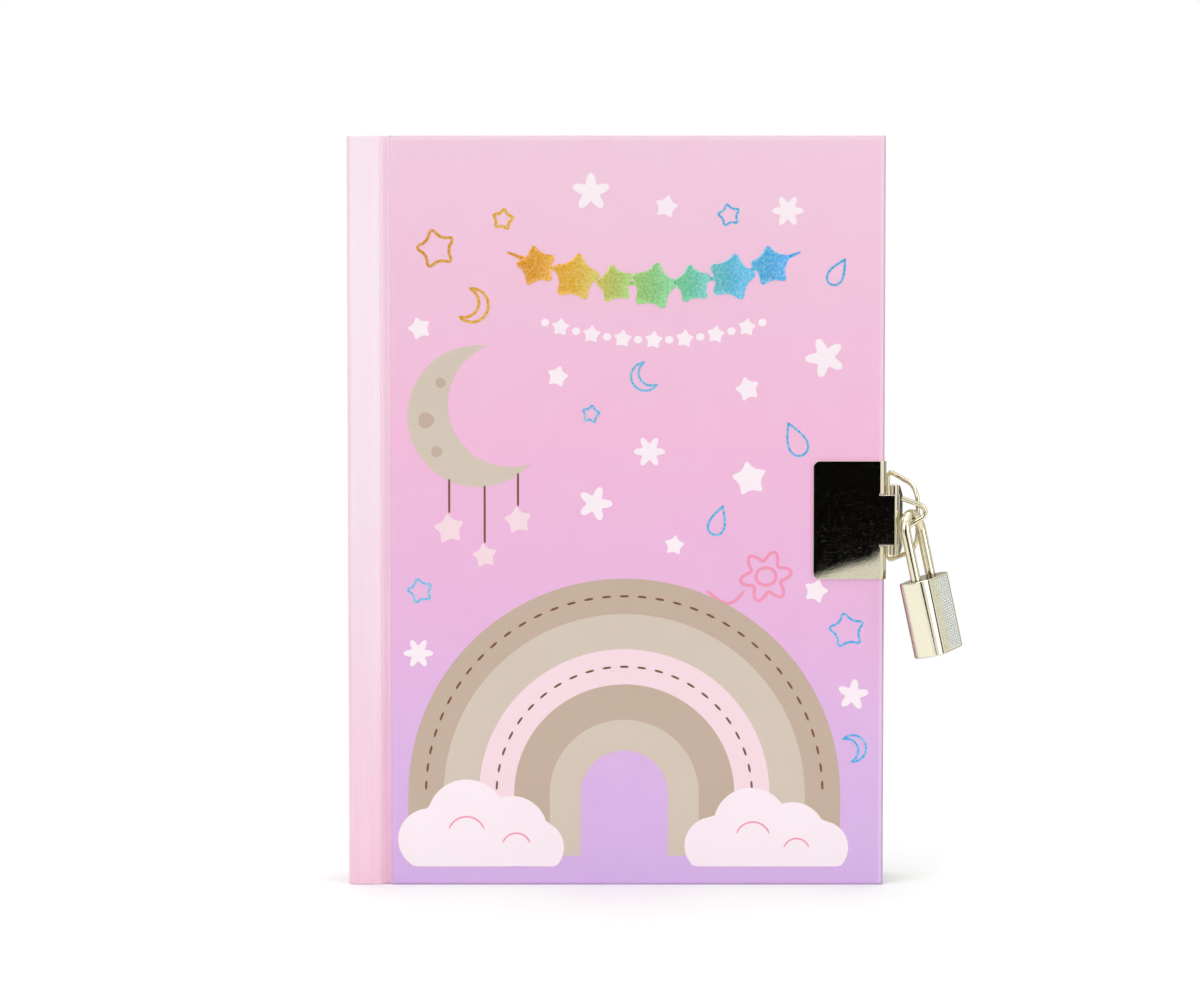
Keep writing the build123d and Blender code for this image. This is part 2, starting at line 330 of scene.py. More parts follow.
# paler clouds in the print, and the painted highlight along the cover's edges
PALE_MOTTLE_AND_HIGHLIGHT = "FFF4FA"
GRAIN = "C98FB4"
TOOTH = 0.3             # size of the surface's small bumps on print
TOOTH_H = 0.012

FOIL_GLINT = "FFF6DC"
GARLAND_STOPS = [
    (0.0, "E8960F"), (0.2, "F0B52E"), (0.4, "A9D06A"), (0.6, "6FD29C"), (0.8, "55BFE6"),
    (1.0, "3AA8EE"),
]

PAGE, PAGE_FIBRE, RULE = "F8F1E4", "DCCDB4", "CDA6D6"
FIBRE = 0.6             # size of the paper's fibres
PAGE_TOOTH_H = 0.01
RULE_PITCH = 7.0
RULE_WEIGHT = 0.35
RULE_HEAD = 22.0        # margins of the ruled lines
RULE_FOOT = 12.0
RULE_SIDE = 9.0

LILAC, LILAC_FIBRE, LILAC_DOT = "F3E0EE", "DCC0DC", "DDB0DE"
DOT_PITCH = 5.0
DOT_R = 0.8

BOARD, BOARD_SPECK = "A79C8C", "BDB3A3"
THREAD_A, THREAD_B, FUZZ = "F3A9CC", "FBF1F5", "C77BA4"
BAND_PITCH = 0.7        # from one thread of a band to the next

GRAZING, PIT = "9C9684", "A89B78"
WARM_SIDE = "DAD5B6"
WARM_REACH = 2.5        # the panels are warmest from this far off their middle


def edge_shade_and_highlight(s, colour):
    """Darker line of painted shade along a cover's fore-edge and head, with a paler band of painted
    highlight inside it.
    """
    to_head = s.math("SUBTRACT", BOOK_H * MM, s.axis("Z"))
    to_fore = s.math("SUBTRACT", X_FORE * MM, s.axis("X"))
    across = s.span(s.math("MINIMUM", to_fore, to_head), 0, EDGE_BAND * MM)
    for shares, code in ((EDGE_HIGHLIGHT_SHARES, PALE_MOTTLE_AND_HIGHLIGHT), (EDGE_SHADE_SHARES, EDGE_SHADE_COLOUR)):
        colour = s.mix(s.levels(across, shares), colour, srgb(code))
    return colour


def strip_side_shade_and_sheen(s, colour):
    """Painted shade as deeper colour at both sides of the strip, by its rounded spine edge and its
    groove, and painted sheen as fine pale upright streaks.
    """
    across = s.span(s.axis("X"), X_SPINE * MM, X_FOLD * MM)
    colour = s.mix(s.levels(across, STRIP_SIDE_SHADE_SHARES), colour, srgb(STRIP_SIDE_SHADE_COLOUR))
    # painted sheen: fine pale upright streaks
    squeeze = {"Vector": s.where, "Scale": (1, 1, SHEEN_STREAK_SQUEEZE)}
    tall = s.add("ShaderNodeMapping", squeeze).outputs[0]
    spread = {"Vector": tall, "Scale": 1 / (SHEEN_STREAK_W * MM)}
    sheen_noise = s.add("ShaderNodeTexNoise", spread).outputs[0]
    return s.mix(s.span(sheen_noise, 0.42, 0.66, 0.0, 0.14), colour, srgb(SHEEN_STREAK))


def printed_paper(name, stops, roughness, detail):
    """Print whose colour runs up the book, with painted shade and highlight across the book added
    by its detail.
    """
    s = Shader(name, Coat_Weight=0.25, Coat_Roughness=0.25)
    height = s.span(s.axis("Z"), 0, BOOK_H * MM)
    colour = detail(s, s.hues(height, stops))
    grain = s.speckle(0.35, 2.0, lo=0.25, hi=0.75)
    colour = s.tint(colour, s.speckle(9.0), 0.05, PALE_MOTTLE_AND_HIGHLIGHT)
    s.set("Base Color", s.tint(colour, grain, 0.07, GRAIN))
    s.set("Roughness", s.span(grain, 0, 1, roughness - 0.04, roughness + 0.05))
    s.bump(s.noise(TOOTH), TOOTH_H)
    return s.mat


def flat_print(name, code, shade):
    """Printed area in one ink, with the paper's grain showing through it."""
    s = Shader(name, Coat_Weight=0.2, Coat_Roughness=0.3)
    grain = s.speckle(0.4)
    colour = s.tint(srgb(code), grain, 0.10, shade)
    s.set("Base Color", s.tint(colour, s.speckle(14.0, 2.0), 0.10, shade))
    s.set("Roughness", s.span(grain, 0, 1, 0.40, 0.50))
    s.bump(s.noise(TOOTH), TOOTH_H)
    return s.mat


def foil(name, stops, x0, x1):
    """Hot foil whose colour runs along X, with a leathery surface."""
    s = Shader(name, Metallic=0.15, Coat_Weight=0.6, Coat_Roughness=0.12)
    colour = s.hues(s.span(s.axis("X"), x0 * MM, x1 * MM), stops)
    crackle = s.noise(0.7, 3.0, 0.6)
    pale = s.span(crackle, 0.45, 0.75, 0.0, 0.35)
    s.set("Base Color", s.mix(pale, colour, srgb(FOIL_GLINT)))
    s.set("Roughness", s.span(crackle, 0.3, 0.7, 0.22, 0.36))
    s.bump(crackle, 0.03)
    return s.mat


def rules(s):
    """1 on the ruled lines, which are on a leaf's broad faces inside its margins."""
    x, z = s.axis("X"), s.axis("Z")
    pitch = s.math("FRACT", s.math("DIVIDE", z, RULE_PITCH * MM))
    tests = (
        s.math("LESS_THAN", pitch, RULE_WEIGHT / RULE_PITCH),
        s.math("GREATER_THAN", z, RULE_FOOT * MM),
        s.math("LESS_THAN", z, (BOOK_H - RULE_HEAD) * MM),
        s.math("GREATER_THAN", x, (X_FOLD + RULE_SIDE) * MM),
        s.math("LESS_THAN", x, (X_FORE - RULE_SIDE) * MM),
    )
    ruled = s.attribute("broad", "Fac")
    for test in tests:
        ruled = s.math("MULTIPLY", ruled, test)
    return ruled


def page_paper(name, ruled):
    """Cream paper; its broad faces are ruled where asked."""
    s = Shader(name, sheet=ruled, Roughness=0.75)
    colour = s.tint(srgb(PAGE), s.speckle(FIBRE, 4.0), 0.14, PAGE_FIBRE)
    if ruled:
        colour = s.mix(rules(s), colour, srgb(RULE))
    s.set("Base Color", colour)
    s.bump(s.noise(0.25), PAGE_TOOTH_H)
    return s.mat


def endpaper(name, sheet=False):
    """Lilac paper with a small printed dot pattern."""
    s = Shader(name, sheet=sheet, Roughness=0.65)
    flat = s.add("ShaderNodeCombineXYZ", {0: s.axis("X"), 1: s.axis("Z")}).outputs[0]
    spread = {"Vector": flat, "Scale": 1 / (DOT_PITCH * MM), "Randomness": 0.0}
    cells = s.add("ShaderNodeTexVoronoi", spread, voronoi_dimensions="2D")
    dot = s.math("LESS_THAN", cells.outputs["Distance"], DOT_R / DOT_PITCH)
    colour = s.tint(srgb(LILAC), s.speckle(FIBRE, 4.0), 0.10, LILAC_FIBRE)
    s.set("Base Color", s.mix(dot, colour, srgb(LILAC_DOT)))
    s.bump(s.noise(TOOTH), PAGE_TOOTH_H)
    return s.mat


def grey_board(name):
    """Speckled grey board."""
    s = Shader(name, Roughness=0.85)
    speck = s.speckle(0.8, 5.0, 0.7, lo=0.35, hi=0.65)
    s.set("Base Color", s.mix(speck, srgb(BOARD), srgb(BOARD_SPECK)))
    s.bump(s.noise(0.5, 4.0), 0.03)
    return s.mat


def band_cloth(name):
    """Woven band in two colours of thread, which follow each other along Y."""
    s = Shader(name, Roughness=0.7, Sheen_Weight=0.3)
    twist = s.math("FRACT", s.math("DIVIDE", s.axis("Y"), 2 * BAND_PITCH * MM))
    stripe = s.math("GREATER_THAN", twist, 0.5)
    thread = s.mix(stripe, srgb(THREAD_A), srgb(THREAD_B))
    s.set("Base Color", s.tint(thread, s.speckle(0.15), 0.25, FUZZ))
    s.bump(s.noise(0.12), 0.03)
    return s.mat


def nickel(name, code, roughness, wear=0.05, specks=0.0, ripple=0.0016):
    """Plated metal with faint smears and fine pits, darker at grazing angles."""
    s = Shader(name, Metallic=1.0, Specular_Tint=srgb(GRAZING))
    pits = s.speckle(0.3, 4.0, 0.7, lo=0.60, hi=0.74)
    s.set("Base Color", s.tint(srgb(code), pits, 0.35, PIT))
    worn = s.span(s.speckle(3.0, 4.0), 0, 1, roughness, roughness + wear)
    s.set("Roughness", s.math("ADD", worn, s.math("MULTIPLY", pits, specks)))
    s.bump(s.noise(0.3), ripple)
    return s.mat


def etched(name, light, dark):
    """Matt etched metal of the padlock's panels, yellower toward the long leg's side."""
    s = Shader(name, Metallic=1.0)
    frost = s.speckle(0.18)
    from_arch = {0: s.where, 1: Vector(joints["padlock_swing"]["pos_m"])}
    off = s.add("ShaderNodeVectorMath", from_arch, operation="SUBTRACT").outputs[0]
    toward = {0: off, 1: joint_axis("latch_slide")}
    side = s.add("ShaderNodeVectorMath", toward, operation="DOT_PRODUCT").outputs["Value"]
    warm = s.span(side, 0.0, WARM_REACH * MM, 0.0, 0.8)
    colour = s.mix(frost, srgb(light), srgb(dark))
    s.set("Base Color", s.mix(warm, colour, srgb(WARM_SIDE)))
    s.set("Roughness", s.span(frost, 0, 1, 0.34, 0.48))
    s.bump(frost, 0.01)
    return s.mat


# the cover's edges and the strip's sides carry painted shade and highlight, and the strip carries
# painted sheen streaks
cover_paper = printed_paper("cover_paper", COVER_STOPS, 0.42, edge_shade_and_highlight)
strip_paper = printed_paper("strip_paper", STRIP_STOPS, 0.30, strip_side_shade_and_sheen)
leaf_paper = page_paper("leaf_paper", ruled=True)
edge_paper = page_paper("edge_paper", ruled=False)
end_sheet = endpaper("end_sheet")
fly_sheet = endpaper("fly_sheet", sheet=True)
board = grey_board("grey_board")
plate_nickel = nickel("plate_nickel", "E3DCC4", 0.005, wear=0.01, specks=0.3, ripple=0.0007)
wire_nickel = nickel("wire_nickel", "E2DABF", 0.10)
case_nickel = nickel("case_nickel", "E4DEC8", 0.05, wear=0.04)
brass = nickel("brass", "C9A65A", 0.25, wear=0.15)
panel_metal = etched("panel_metal", "FAFCF8", "ECEFE9")
# darker copy of the panel metal: painted shade on the knurl's lower facets
panel_shade = etched("panel_shade", "B4B8B1", "A2A69E")
cloth = band_cloth("band_cloth")


# CAD nodes that are kept as they are

def dress(mat, *names):
    """Gives CAD nodes a material."""
    for name in names:
        node = frame["nodes"][name]
        if not node.material_slots:
            node.data.materials.append(mat)
        for slot in node.material_slots:
            slot.material = mat


dress(cover_paper, "front_cover_wrap", "back_cover_wrap")
dress(board, "front_board", "back_board", "spine_board", "front_strip_board", "back_strip_board")
dress(end_sheet, "front_pastedown", "back_pastedown")
dress(edge_paper, "bound_edge", "spine_lining")
dress(brass, "padlock_latch", "latch_spring", "key_plug")


# Spine: printed paper over the strips and the spine, and over the two folds

SPINE_R = 1.2
SPINE_TURN_STEPS = 8
STRIP_CROWN = 0.35
CROWN_STEPS = 16
GROOVE_W = 2.2
VALLEY_W = 1.0
GROOVE_DEPTH = 1.5
SHOULDER = 5.0          # the rounded edge of the spine runs on straight to this depth
ROOM = 2.5              # paper and board together
TURNED = ROOM + 0.12    # and the paper turned in over the board at head and tail
TURN_IN = 4.0
SOFT = 0.3              # rounding at head and tail
SPINE_LEVELS = 12
X_LIP = X_FOLD - GROOVE_W
FOLD_GAP = 0.15         # the cover starts this far from the fold
FOLD_T = 0.25           # thickness of the paper over the fold
FOLD_INSET = 0.15       # it ends this far inside head and tail
LINER_T = 0.06          # thickness of the endpaper inside the fold
LINER_INSET = 3.2
SHEET_LEVELS = 8


def strip_profile():
    """Front half of the spine's outer line, from the valley to the middle of the spine."""
    y_strip = Y_FACE + STRIP_CROWN
    x_corner = X_SPINE + SPINE_R
    line = [(X_FOLD - VALLEY_W, Y_FACE + GROOVE_DEPTH), (X_LIP + 0.25, y_strip + 0.45)]
    for k in range(CROWN_STEPS + 1):
        t = k / CROWN_STEPS
        swell = STRIP_CROWN * 4 * t * (1 - t)
        line.append((X_LIP + (x_corner - X_LIP) * t, y_strip - swell))
    for k in range(1, SPINE_TURN_STEPS + 1):
        a = pi / 2 * k / SPINE_TURN_STEPS
        line.append((x_corner - SPINE_R * sin(a), y_strip + SPINE_R * (1 - cos(a))))
    line.append((X_SPINE, Y_FACE + SHOULDER))
    return line


def spine_levels():
    """Heights of the spine's sections, each with the outer line's inset and the room inside."""
    foot = [
        (0.0, SOFT, TURNED), (SOFT * 0.3, SOFT * 0.3, TURNED), (SOFT, 0.0, TURNED),
        (SOFT * 1.5, 0.0, TURNED), (TURN_IN, 0.0, TURNED),
    ]
    head = [(BOOK_H - z, inset, room) for z, inset, room in reversed(foot)]
    between = [(BOOK_H * k / SPINE_LEVELS, 0.0, ROOM) for k in range(1, SPINE_LEVELS)]
    return foot + between + head


def make_spine():
    """Paper around the spine and its two strips, turned in over the boards at head and tail."""
    front = strip_profile()
    outer = front + [(x, 2 * Y_MID - y) for x, y in reversed(front)]
    x_end = front[0][0]
    rows = []
    for z, inset, room in spine_levels():
        x_in = X_SPINE + room
        y_in = Y_FACE + room
        y_far = 2 * Y_MID - y_in
        row = []
        for x, y in outer:
            toward = Vector((x_in - x, max(min(y, y_far), y_in) - y, 0)).normalized()
            row.append((x + toward.x * inset, y + toward.y * inset, z))
        row += [(x_end, y_far, z), (x_in, y_far, z), (x_in, y_in, z), (x_end, y_in, z)]
        rows.append(row)
    bm = bmesh.new()
    loft(bm, rows)
    spine = new_piece("spine_paper", bm, strip_paper, "book", smooth=35)
    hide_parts("spine_wrap")


def sheet_section(line, thickness):
    """Outline of a sheet along a line in the XY plane."""
    last = len(line) - 1
    far_side = []
    for i, p in enumerate(line):
        t = (line[min(i + 1, last)] - line[max(i - 1, 0)]).normalized()
        far_side.append(p + Vector((-t.y, t.x, 0)) * thickness)
    return line + list(reversed(far_side))


def bent_sheet(name, line, thickness, mat, z_inset):
    """Thin sheet over the book's height, lying between the book and a cover."""
    line = [Vector((x, y, 0)) for x, y in line]
    section = sheet_section(line, thickness)
    rows = []
    for k in range(SHEET_LEVELS + 1):
        z = z_inset + (BOOK_H - 2 * z_inset) * k / SHEET_LEVELS
        rows.append([(p.x, p.y, z) for p in section])
    bm = bmesh.new()
    loft(bm, rows)
    sheet = new_piece(name, bm, mat, None, smooth=60)
    keep_rest(sheet)
    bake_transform(sheet)
    return sheet


def smooth_line(points, times):
    """Corner cutting that keeps both ends."""
    points = [Vector(p) for p in points]
    for _ in range(times):
        cut = [points[0]]
        for a, b in zip(points, points[1:]):
            cut.append(a.lerp(b, 0.25))
            cut.append(a.lerp(b, 0.75))
        cut.append(points[-1])
        points = cut
    return [tuple(p) for p in points]


def make_folds():
    """Paper outside and endpaper inside each fold; their lines give X and the depth."""
    valley = [
        (X_LIP - 0.3, 0.75), (X_LIP + 0.35, 0.75), (X_FOLD - VALLEY_W, GROOVE_DEPTH - 0.05),
        (X_FOLD - 0.35, GROOVE_DEPTH), (X_FOLD + FOLD_GAP - 0.02, 0.85),
    ]
    inside = [
        (X_FOLD - 3.0, ROOM + 0.02), (X_FOLD - 0.5, ROOM + 0.05), (X_FOLD + 3.0, ROOM + 0.22),
    ]
    sides = (("front", "front_cover", Y_FACE, 1), ("back", "back_cover", Y_BACK, -1))
    for side, cover, face, way in sides:
        outer_line = smooth_line([(x, face + way * depth) for x, depth in valley], 3)
        paper = bent_sheet(
            side + "_fold_paper", outer_line, FOLD_T * way, strip_paper,
            FOLD_INSET,
        )
        inner_line = smooth_line([(x, face + way * depth) for x, depth in inside], 4)
        liner = bent_sheet(
            side + "_fold_endpaper", inner_line, LINER_T * way, fly_sheet,
            LINER_INSET,
        )


make_spine()
make_folds()


# Leaves and bands

BUNDLES = 6
LEAF_LAYERS = 9         # visible layers in each bundle
LEAF_SHARE = 0.93       # of a layer's pitch is paper, the rest is a gap
LEAF_BEND = 7.0         # leaves are divided more finely over this length beside the fold
BEND_STEPS = 12
FLAT_STEPS = 5
FORE_PLAY = 0.16        # unevenness of the sheets at the fore-edge
END_PLAY = 0.12         # and at head and tail
BAND_CUTS = 6           # sections in each thread of a band
BAND_SIDES = 12
BAND_SWELL = 0.1        # threads swell by this share


def leaf_columns(lo, hi):
    """Places along X where a leaf is divided, closer together beside the fold."""
    flat = hi.x - lo.x - LEAF_BEND
    columns = [lo.x + LEAF_BEND * k / BEND_STEPS for k in range(BEND_STEPS + 1)]
    columns += [lo.x + LEAF_BEND + flat * k / FLAT_STEPS for k in range(1, FLAT_STEPS + 1)]
    return columns


def leaf_stack(name, node, layers, mat, seed):
    """Bundle of loose sheets with uneven edges, running from the bound edge."""
    lo, hi = box_mm(node)
    dice = random.Random(seed)
    bm = bmesh.new()
    pitch = (hi.y - lo.y) / layers
    for layer in range(layers):
        y0 = lo.y + pitch * layer
        y1 = y0 + pitch * LEAF_SHARE
        fore = hi.x - dice.uniform(0.0, FORE_PLAY)
        foot = lo.z + dice.uniform(0.0, END_PLAY)
        head = hi.z - dice.uniform(0.0, END_PLAY)
        rows = []
        for column in leaf_columns(lo, hi):
            x = min(column, fore)
            rows.append([(x, y0, foot), (x, y1, foot), (x, y1, head), (x, y0, head)])
        loft(bm, rows)
    stack = new_piece(name, bm, mat, None, smooth=30)
    keep_rest(stack)
    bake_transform(stack)
    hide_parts(node)


def ribbed_band(node, way):
    """Rolled cloth band with a twist of two threads, standing up or down."""
    lo, hi = box_mm(node)
    half_w = (hi.x - lo.x) / 2
    rise = hi.z - lo.z
    base = lo.z if way > 0 else hi.z
    count = int((hi.y - lo.y) / BAND_PITCH * BAND_CUTS)
    rows = []
    for k in range(count + 1):
        y = lo.y + (hi.y - lo.y) * k / count
        swell = 1 - BAND_SWELL + BAND_SWELL * abs(sin(pi * y / BAND_PITCH))
        row = []
        for j in range(BAND_SIDES + 1):
            a = pi * j / BAND_SIDES
            x = lo.x + half_w * (1 - cos(a) * swell)
            row.append((x, y, base + way * rise * sin(a) * swell))
        rows.append(row)
    bm = bmesh.new()
    loft(bm, rows)
    band = new_piece(node + "_roll", bm, cloth, "book", smooth=70)
    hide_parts(node)


for n in range(1, BUNDLES + 1):
    leaf_stack(f"leaves_{n}_sheets", f"leaf_bundle_{n}", LEAF_LAYERS, leaf_paper, n)
leaf_stack("front_fly_sheet", "front_flyleaf", 1, fly_sheet, 11)
leaf_stack("back_fly_sheet", "back_flyleaf", 1, fly_sheet, 12)
ribbed_band("head_band", 1)
ribbed_band("tail_band", -1)


# Lock hardware

EYE_LIFT = 1.4          # the eye's middle above the middle of the bail's pin
EYE_H = 7.5
EYE_REACH = 7.75
EYE_RISE = 0.9
EYE_BEND = 1.8
EYE_ROOT = 0.3          # the wire runs this far into the tab
BAIL_ANGLE = 30.5
BAIL_SEAT = 2.2
BAIL_H = 22.3
BAIL_TIP_H = 15.0
BAIL_REACH = 12.6
BAIL_ROOT_R = 1.5
BAIL_TIP_R = 5.5
BAIL_R = 0.55


def make_eye():
    """Three-cornered wire on the hasp's tab."""
    lo, hi = box_mm("wire_eye")
    x_tab = box_mm("hasp_tab")[1].x
    y = (lo.y + hi.y) / 2
    r = (hi.y - lo.y) / 2
    middle = joint_place("bail_swing").z + EYE_LIFT
    tip = Vector((x_tab + EYE_REACH, y, middle + EYE_RISE))
    ends = [Vector((x_tab, y, middle + EYE_H / 2)), Vector((x_tab, y, middle - EYE_H / 2))]
    ends = [end + (end - tip).normalized() * EYE_ROOT for end in ends]
    bm = bmesh.new()
    tube(bm, rounded_route([ends[0], tip, ends[1]], [EYE_BEND], steps=18), r, sides=24)
    eye = new_piece("eye_wire", bm, wire_nickel, "hasp")
    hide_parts("wire_eye")


def make_bail():
    """Wire loop whose two ends sit in the back plate's barrel."""
    pin = joint_place("bail_swing")
    out = Vector((sin(radians(BAIL_ANGLE)), -cos(radians(BAIL_ANGLE)), 0))
    outline = [
        (0, BAIL_SEAT), (0, BAIL_H / 2), (BAIL_REACH, BAIL_TIP_H / 2),
        (BAIL_REACH, -BAIL_TIP_H / 2), (0, -BAIL_H / 2), (0, -BAIL_SEAT),
    ]
    points = [pin + out * s + Vector((0, 0, z)) for s, z in outline]
    radii = [BAIL_ROOT_R, BAIL_TIP_R, BAIL_TIP_R, BAIL_ROOT_R]
    bm = bmesh.new()
    tube(bm, rounded_route(points, radii, steps=14), BAIL_R, sides=20)
    bail = new_piece("bail_wire", bm, wire_nickel, "bail")
    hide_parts("hasp_bail")


bevelled("front_plate", plate_nickel, width=0.3)
bevelled("back_plate", plate_nickel, width=0.3)
bevelled("hasp_tab", wire_nickel, width=0.12)
bevelled("hasp_pin", wire_nickel, width=0.15)
make_eye()
make_bail()


# Padlock, in its own frame: arch of the shackle at the origin, width along X, legs down

SHACKLE_R = 1.2
SHACKLE_A = 4.4         # radius of the arch
SHACKLE_TOP = 15.6      # from the arch to the case
ARCH_STEPS = 28
LONG_LEG = 14.0         # lengths inside the case
SHORT_LEG = 7.2
CASE_T = 8.0
PANEL_W = 9.2
PANEL_H = 17.3
PANEL_DROP = 0.5
PANEL_SINK = 0.2        # the panel starts this far inside the case
KNURL = 0.6             # half a diamond
KNURL_LOW = 0.02        # heights of the diamonds over the case
KNURL_HIGH = 0.2


def padlock_frame():
    """Matrix from the padlock's own frame to the part's."""
    x_axis = -joint_axis("latch_slide").normalized()
    z_axis = -joint_axis("padlock_release").normalized()
    y_axis = z_axis.cross(x_axis)
    turn = Matrix((x_axis, y_axis, z_axis)).transposed().to_4x4()
    return Matrix.Translation(joint_place("padlock_swing")) @ turn


hang = padlock_frame()


def make_shackle():
    a = SHACKLE_A
    turns = [pi * k / ARCH_STEPS for k in range(1, ARCH_STEPS)]
    points = [(-a, 0, -SHACKLE_TOP - LONG_LEG), (-a, 0, -a)]
    points += [(-a * cos(t), 0, -a + a * sin(t)) for t in turns]
    points += [(a, 0, -a), (a, 0, -SHACKLE_TOP - SHORT_LEG)]
    bm = bmesh.new()
    tube(bm, points, SHACKLE_R, sides=28)
    bmesh.ops.transform(bm, matrix=hang, verts=bm.verts)
    piece = new_piece("shackle_wire", bm, wire_nickel, "shackle", smooth=50)
    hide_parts("shackle")


def knurl_grid(bm, side, columns, rows):
    """Vertices of the panel's face, high at every second one and low along its rim."""
    face = CASE_T / 2
    z_top = -SHACKLE_TOP - PANEL_DROP
    grid = []
    for j in range(rows + 1):
        line = []
        for i in range(columns + 1):
            rim = i in (0, columns) or j in (0, rows)
            rise = KNURL_LOW if rim or (i + j) % 2 else KNURL_HIGH
            x = -PANEL_W / 2 + PANEL_W * i / columns
            line.append(bm.verts.new((x, side * (face + rise), z_top - PANEL_H * j / rows)))
        grid.append(line)
    return grid


def knurl_faces(bm, grid):
    """Facets of the diamonds; those below a high vertex have the darker material, a painted shade
    on the facets that face down.
    """
    for j, (upper, lower) in enumerate(zip(grid, grid[1:])):
        for i in range(len(upper) - 1):
            a, b, c, d = upper[i], upper[i + 1], lower[i + 1], lower[i]
            if (i + j) % 2:
                bm.faces.new((a, b, c)).material_index = 1
                bm.faces.new((a, c, d))
            else:
                bm.faces.new((a, b, d)).material_index = 1
                bm.faces.new((b, c, d))


def make_panel(node, side):
    """Plate whose face is a lattice of small raised diamonds."""
    bm = bmesh.new()
    grid = knurl_grid(bm, side, round(PANEL_W / KNURL), round(PANEL_H / KNURL))
    knurl_faces(bm, grid)
    rim = grid[0] + [line[-1] for line in grid[1:-1]]
    rim += grid[-1][::-1] + [line[0] for line in grid[-2:0:-1]]
    y_back = side * (CASE_T / 2 - PANEL_SINK)
    back = add_ring(bm, [(v.co.x, y_back, v.co.z) for v in rim])
    bridge(bm, rim, back)
    bm.faces.new(back)
    bmesh.ops.transform(bm, matrix=hang, verts=bm.verts)
    panel = new_piece(node + "_knurl", bm, panel_metal, "padlock", smooth=5)
    panel.data.materials.append(panel_shade)
    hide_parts(node)


make_shackle()
make_panel("face_panel_outer", -1)
make_panel("face_panel_inner", 1)
bevelled("padlock_case", case_nickel, width=0.05)
bevelled("padlock_base", case_nickel, width=0.12)


# Cover picture: thin printed inlays and raised foil on the front cover, placed by X and Z

SINK = 0.05             # inlays start this far inside the cover
PRINT_H = 0.03          # ink stands this far off the cover
PRINT_STEP = 0.004      # one band of the rainbow over the next
FOIL_H = 0.22
RIM = 0.02              # width of the slope around a printed area
LINE_W = 0.55
STAR_WAIST = 0.52       # inner radius of a star as a share of the outer
MOON_HALF = 118         # degrees of the moon's outer arc on each side
MOON_HOLLOW = 0.82      # radius of the hollow as a share of the moon's
MOON_SHIFT = 0.42       # the hollow's middle lies this share of the radius from the moon's
DROP_W = 0.75           # a drop's width to its height
DROP_TIP = 1.3          # larger makes a drop's tip finer


def chaikin(loop, times=2):
    """Closed outline with its corners cut."""
    for _ in range(times):
        cut = []
        for (ax, az), (bx, bz) in zip(loop, loop[1:] + loop[:1]):
            cut.append((0.75 * ax + 0.25 * bx, 0.75 * az + 0.25 * bz))
            cut.append((0.25 * ax + 0.75 * bx, 0.25 * az + 0.75 * bz))
        loop = cut
    return loop


def placed(loop, cx, cz, turn):
    """Outline turned about the origin by degrees and moved to its place."""
    c, s = cos(radians(turn)), sin(radians(turn))
    return [(cx + x * c - z * s, cz + x * s + z * c) for x, z in loop]


def star(cx, cz, r, turn=0.0, waist=STAR_WAIST):
    """Five-pointed star with soft corners."""
    loop = []
    for k in range(10):
        a = radians(90 + turn) + pi * k / 5
        reach = r if k % 2 == 0 else r * waist
        loop.append((cx + reach * cos(a), cz + reach * sin(a)))
    return chaikin(loop)


def lobed(cx, cz, r, lobes, depth, turn=0.0, steps=60):
    """Round outline with lobes, such as a flower."""
    loop = []
    for k in range(steps):
        a = 2 * pi * k / steps
        reach = r * (1 - depth + depth * cos(lobes * (a - radians(turn))))
        loop.append((cx + reach * cos(a), cz + reach * sin(a)))
    return loop


def crescent(cx, cz, r, turn, steps=28):
    """Moon whose hollow side faces along the turn."""
    half = radians(MOON_HALF)
    shift = r * MOON_SHIFT
    tip_x, tip_z = r * cos(pi - half), r * sin(half)
    inner_half = atan2(tip_z, tip_x - shift)
    reach = hypot(tip_x - shift, tip_z)
    squeeze = r * MOON_HOLLOW / reach
    loop = []
    for k in range(steps + 1):
        a = pi - half + 2 * half * k / steps
        loop.append((r * cos(a), r * sin(a)))
    for k in range(1, steps):
        a = 2 * pi - inner_half - (2 * pi - 2 * inner_half) * k / steps
        share = sin(pi * k / steps)
        d = reach * (1 - share + share * squeeze)
        loop.append((shift + d * cos(a), d * sin(a)))
    return placed(loop, cx, cz, turn)


def drop(cx, cz, r, turn, steps=36):
    loop = []
    for k in range(steps):
        t = 2 * pi * k / steps
        loop.append((DROP_W * r * sin(t) * sin(t / 2) ** DROP_TIP, r * cos(t)))
    return placed(loop, cx, cz, turn)


def puff(cx, cz, circles, floor_z, steps=96):
    """Outline of joined circles seen from one middle, cut flat at the bottom."""
    loop = []
    for k in range(steps):
        a = 2 * pi * k / steps
        dx, dz = cos(a), sin(a)
        reach = 0.0
        for ox, oz, r in circles:
            along = ox * dx + oz * dz
            inside = r * r - (ox * ox + oz * oz - along * along)
            if inside > 0:
                reach = max(reach, along + inside ** 0.5)
        loop.append((cx + reach * dx, max(cz + reach * dz, floor_z)))
    return loop


def arc_line(cx, cz, r, a0, a1, steps):
    turns = [a0 + (a1 - a0) * k / steps for k in range(steps + 1)]
    return [(cx + r * cos(a), cz + r * sin(a)) for a in turns]


def arch(cx, cz, r0, r1, foot, steps=48):
    """Band of a rainbow with straight legs down to its foot."""
    outer = arc_line(cx, cz, r1, 0, pi, steps)
    inner = arc_line(cx, cz, r0, 0, pi, steps)
    left = [(cx - r1, foot), (cx - r0, foot)]
    return [(cx + r1, foot)] + outer + left + inner[::-1] + [(cx + r0, foot)]


